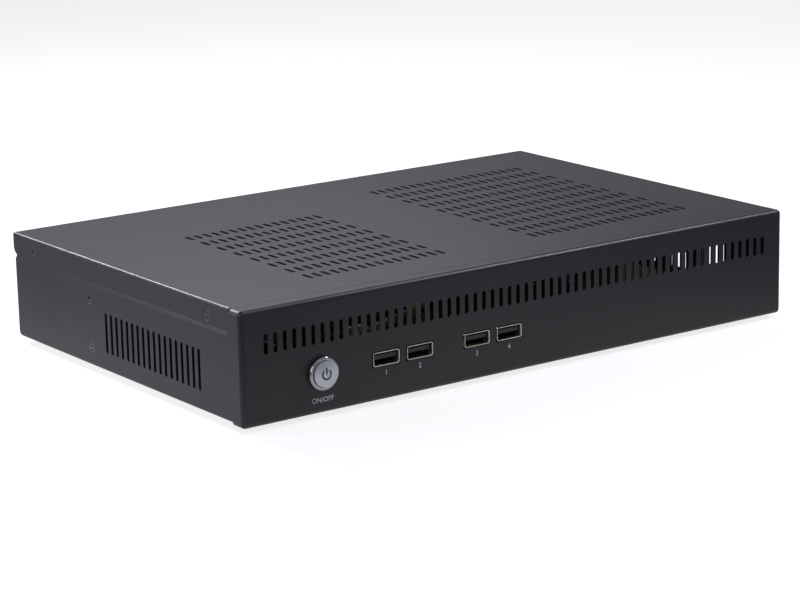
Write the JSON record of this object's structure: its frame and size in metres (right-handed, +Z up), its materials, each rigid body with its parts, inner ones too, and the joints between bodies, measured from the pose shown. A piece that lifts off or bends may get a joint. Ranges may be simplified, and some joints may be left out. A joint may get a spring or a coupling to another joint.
{
  "type": "fanless industrial computer",
  "caption": "Low folded-steel fanless computer with slotted front, sides and cover, a sprung round power button, front USB sockets and a rear connector panel.",
  "frame": {"origin": "on the standing surface under the feet, at the middle of the overall width and depth", "axes": "+X to the right seen from the front, +Y from the front bezel to the rear connectors, +Z up"},
  "size_m": [0.3, 0.2034, 0.052],
  "materials": {
    "black_powder_coat": "satin, fine-textured",
    "black_screw": "satin",
    "foot_rubber": "matt",
    "chromed_metal": "polished",
    "satin_metal": "satin",
    "nickel_plating": "dull plated",
    "galvanised_steel": "satin",
    "stainless_steel": "satin",
    "brass": "satin",
    "gold_plating": "satin",
    "black_plastic": "matt",
    "white_plastic": "matt",
    "cable_sheath": "satin",
    "wire_insulation": "satin",
    "green_board": "satin lacquer",
    "black_board": "satin lacquer",
    "black_anodised": "satin anodised",
    "silicon_package": "matt",
    "thermal_silicone": "matt",
    "ferrite": "matt",
    "capacitor_can": "satin",
    "drive_case": "satin"
  },
  "bodies": {
    "computer": {"front_bezel": "black_powder_coat", "base_tray": "black_powder_coat", "top_cover": "black_powder_coat", "cover_screws": "black_screw", "side_screws": "black_screw", "bezel_screws": "black_screw", "rubber_feet": "foot_rubber", "power_button_housing": "chromed_metal", "power_button_nut": "nickel_plating", "power_button_switch": "black_plastic", "power_button_terminals": "gold_plating", "power_button_plug": "white_plastic", "power_button_lead": "wire_insulation", "lead_tie": "white_plastic", "front_usb_shells": "nickel_plating", "front_usb_insulators": "black_plastic", "front_usb_boards": "green_board", "usb_board_pillars": "brass", "usb_board_screws": "stainless_steel", "front_usb_cables": "cable_sheath", "motherboard": "green_board", "board_standoffs": "brass", "board_screws": "stainless_steel", "processor": "silicon_package", "thermal_pad": "thermal_silicone", "heatsink": "black_anodised", "heatsink_backplate": "galvanised_steel", "heatsink_screws": "stainless_steel", "memory_socket": "black_plastic", "memory_module": "black_board", "coin_cell_holder": "black_plastic", "coin_cell": "stainless_steel", "power_chokes": "ferrite", "capacitors": "capacitor_can", "board_headers": "white_plastic", "header_plugs": "black_plastic", "drive_bracket": "galvanised_steel", "bracket_screws": "stainless_steel", "solid_state_drive": "drive_case", "drive_screws": "stainless_steel", "drive_plug": "black_plastic", "drive_cable": "cable_sheath", "io_shield": "stainless_steel", "dc_jack": "black_plastic", "dc_jack_pin": "nickel_plating", "hdmi_shell": "nickel_plating", "hdmi_insulator": "black_plastic", "vga_shell": "nickel_plating", "vga_insulator": "black_plastic", "vga_screws": "nickel_plating", "lan_shells": "nickel_plating", "lan_inserts": "black_plastic", "lan_contacts": "gold_plating", "rear_usb_shells": "nickel_plating", "rear_usb_insulators": "black_plastic", "audio_jack": "black_plastic", "antenna_hole_plugs": "black_plastic"},
    "power_button": {"power_button_cap": "satin_metal"}
  },
  "joints": [
    {"name": "power_button_press", "type": "slide", "parent": "computer", "child": "power_button", "axis": [0, 1, 0], "range_m": [0, 0.0012], "stiffness_N_per_m": 1200, "springref_m": -0.0008}
  ]
}
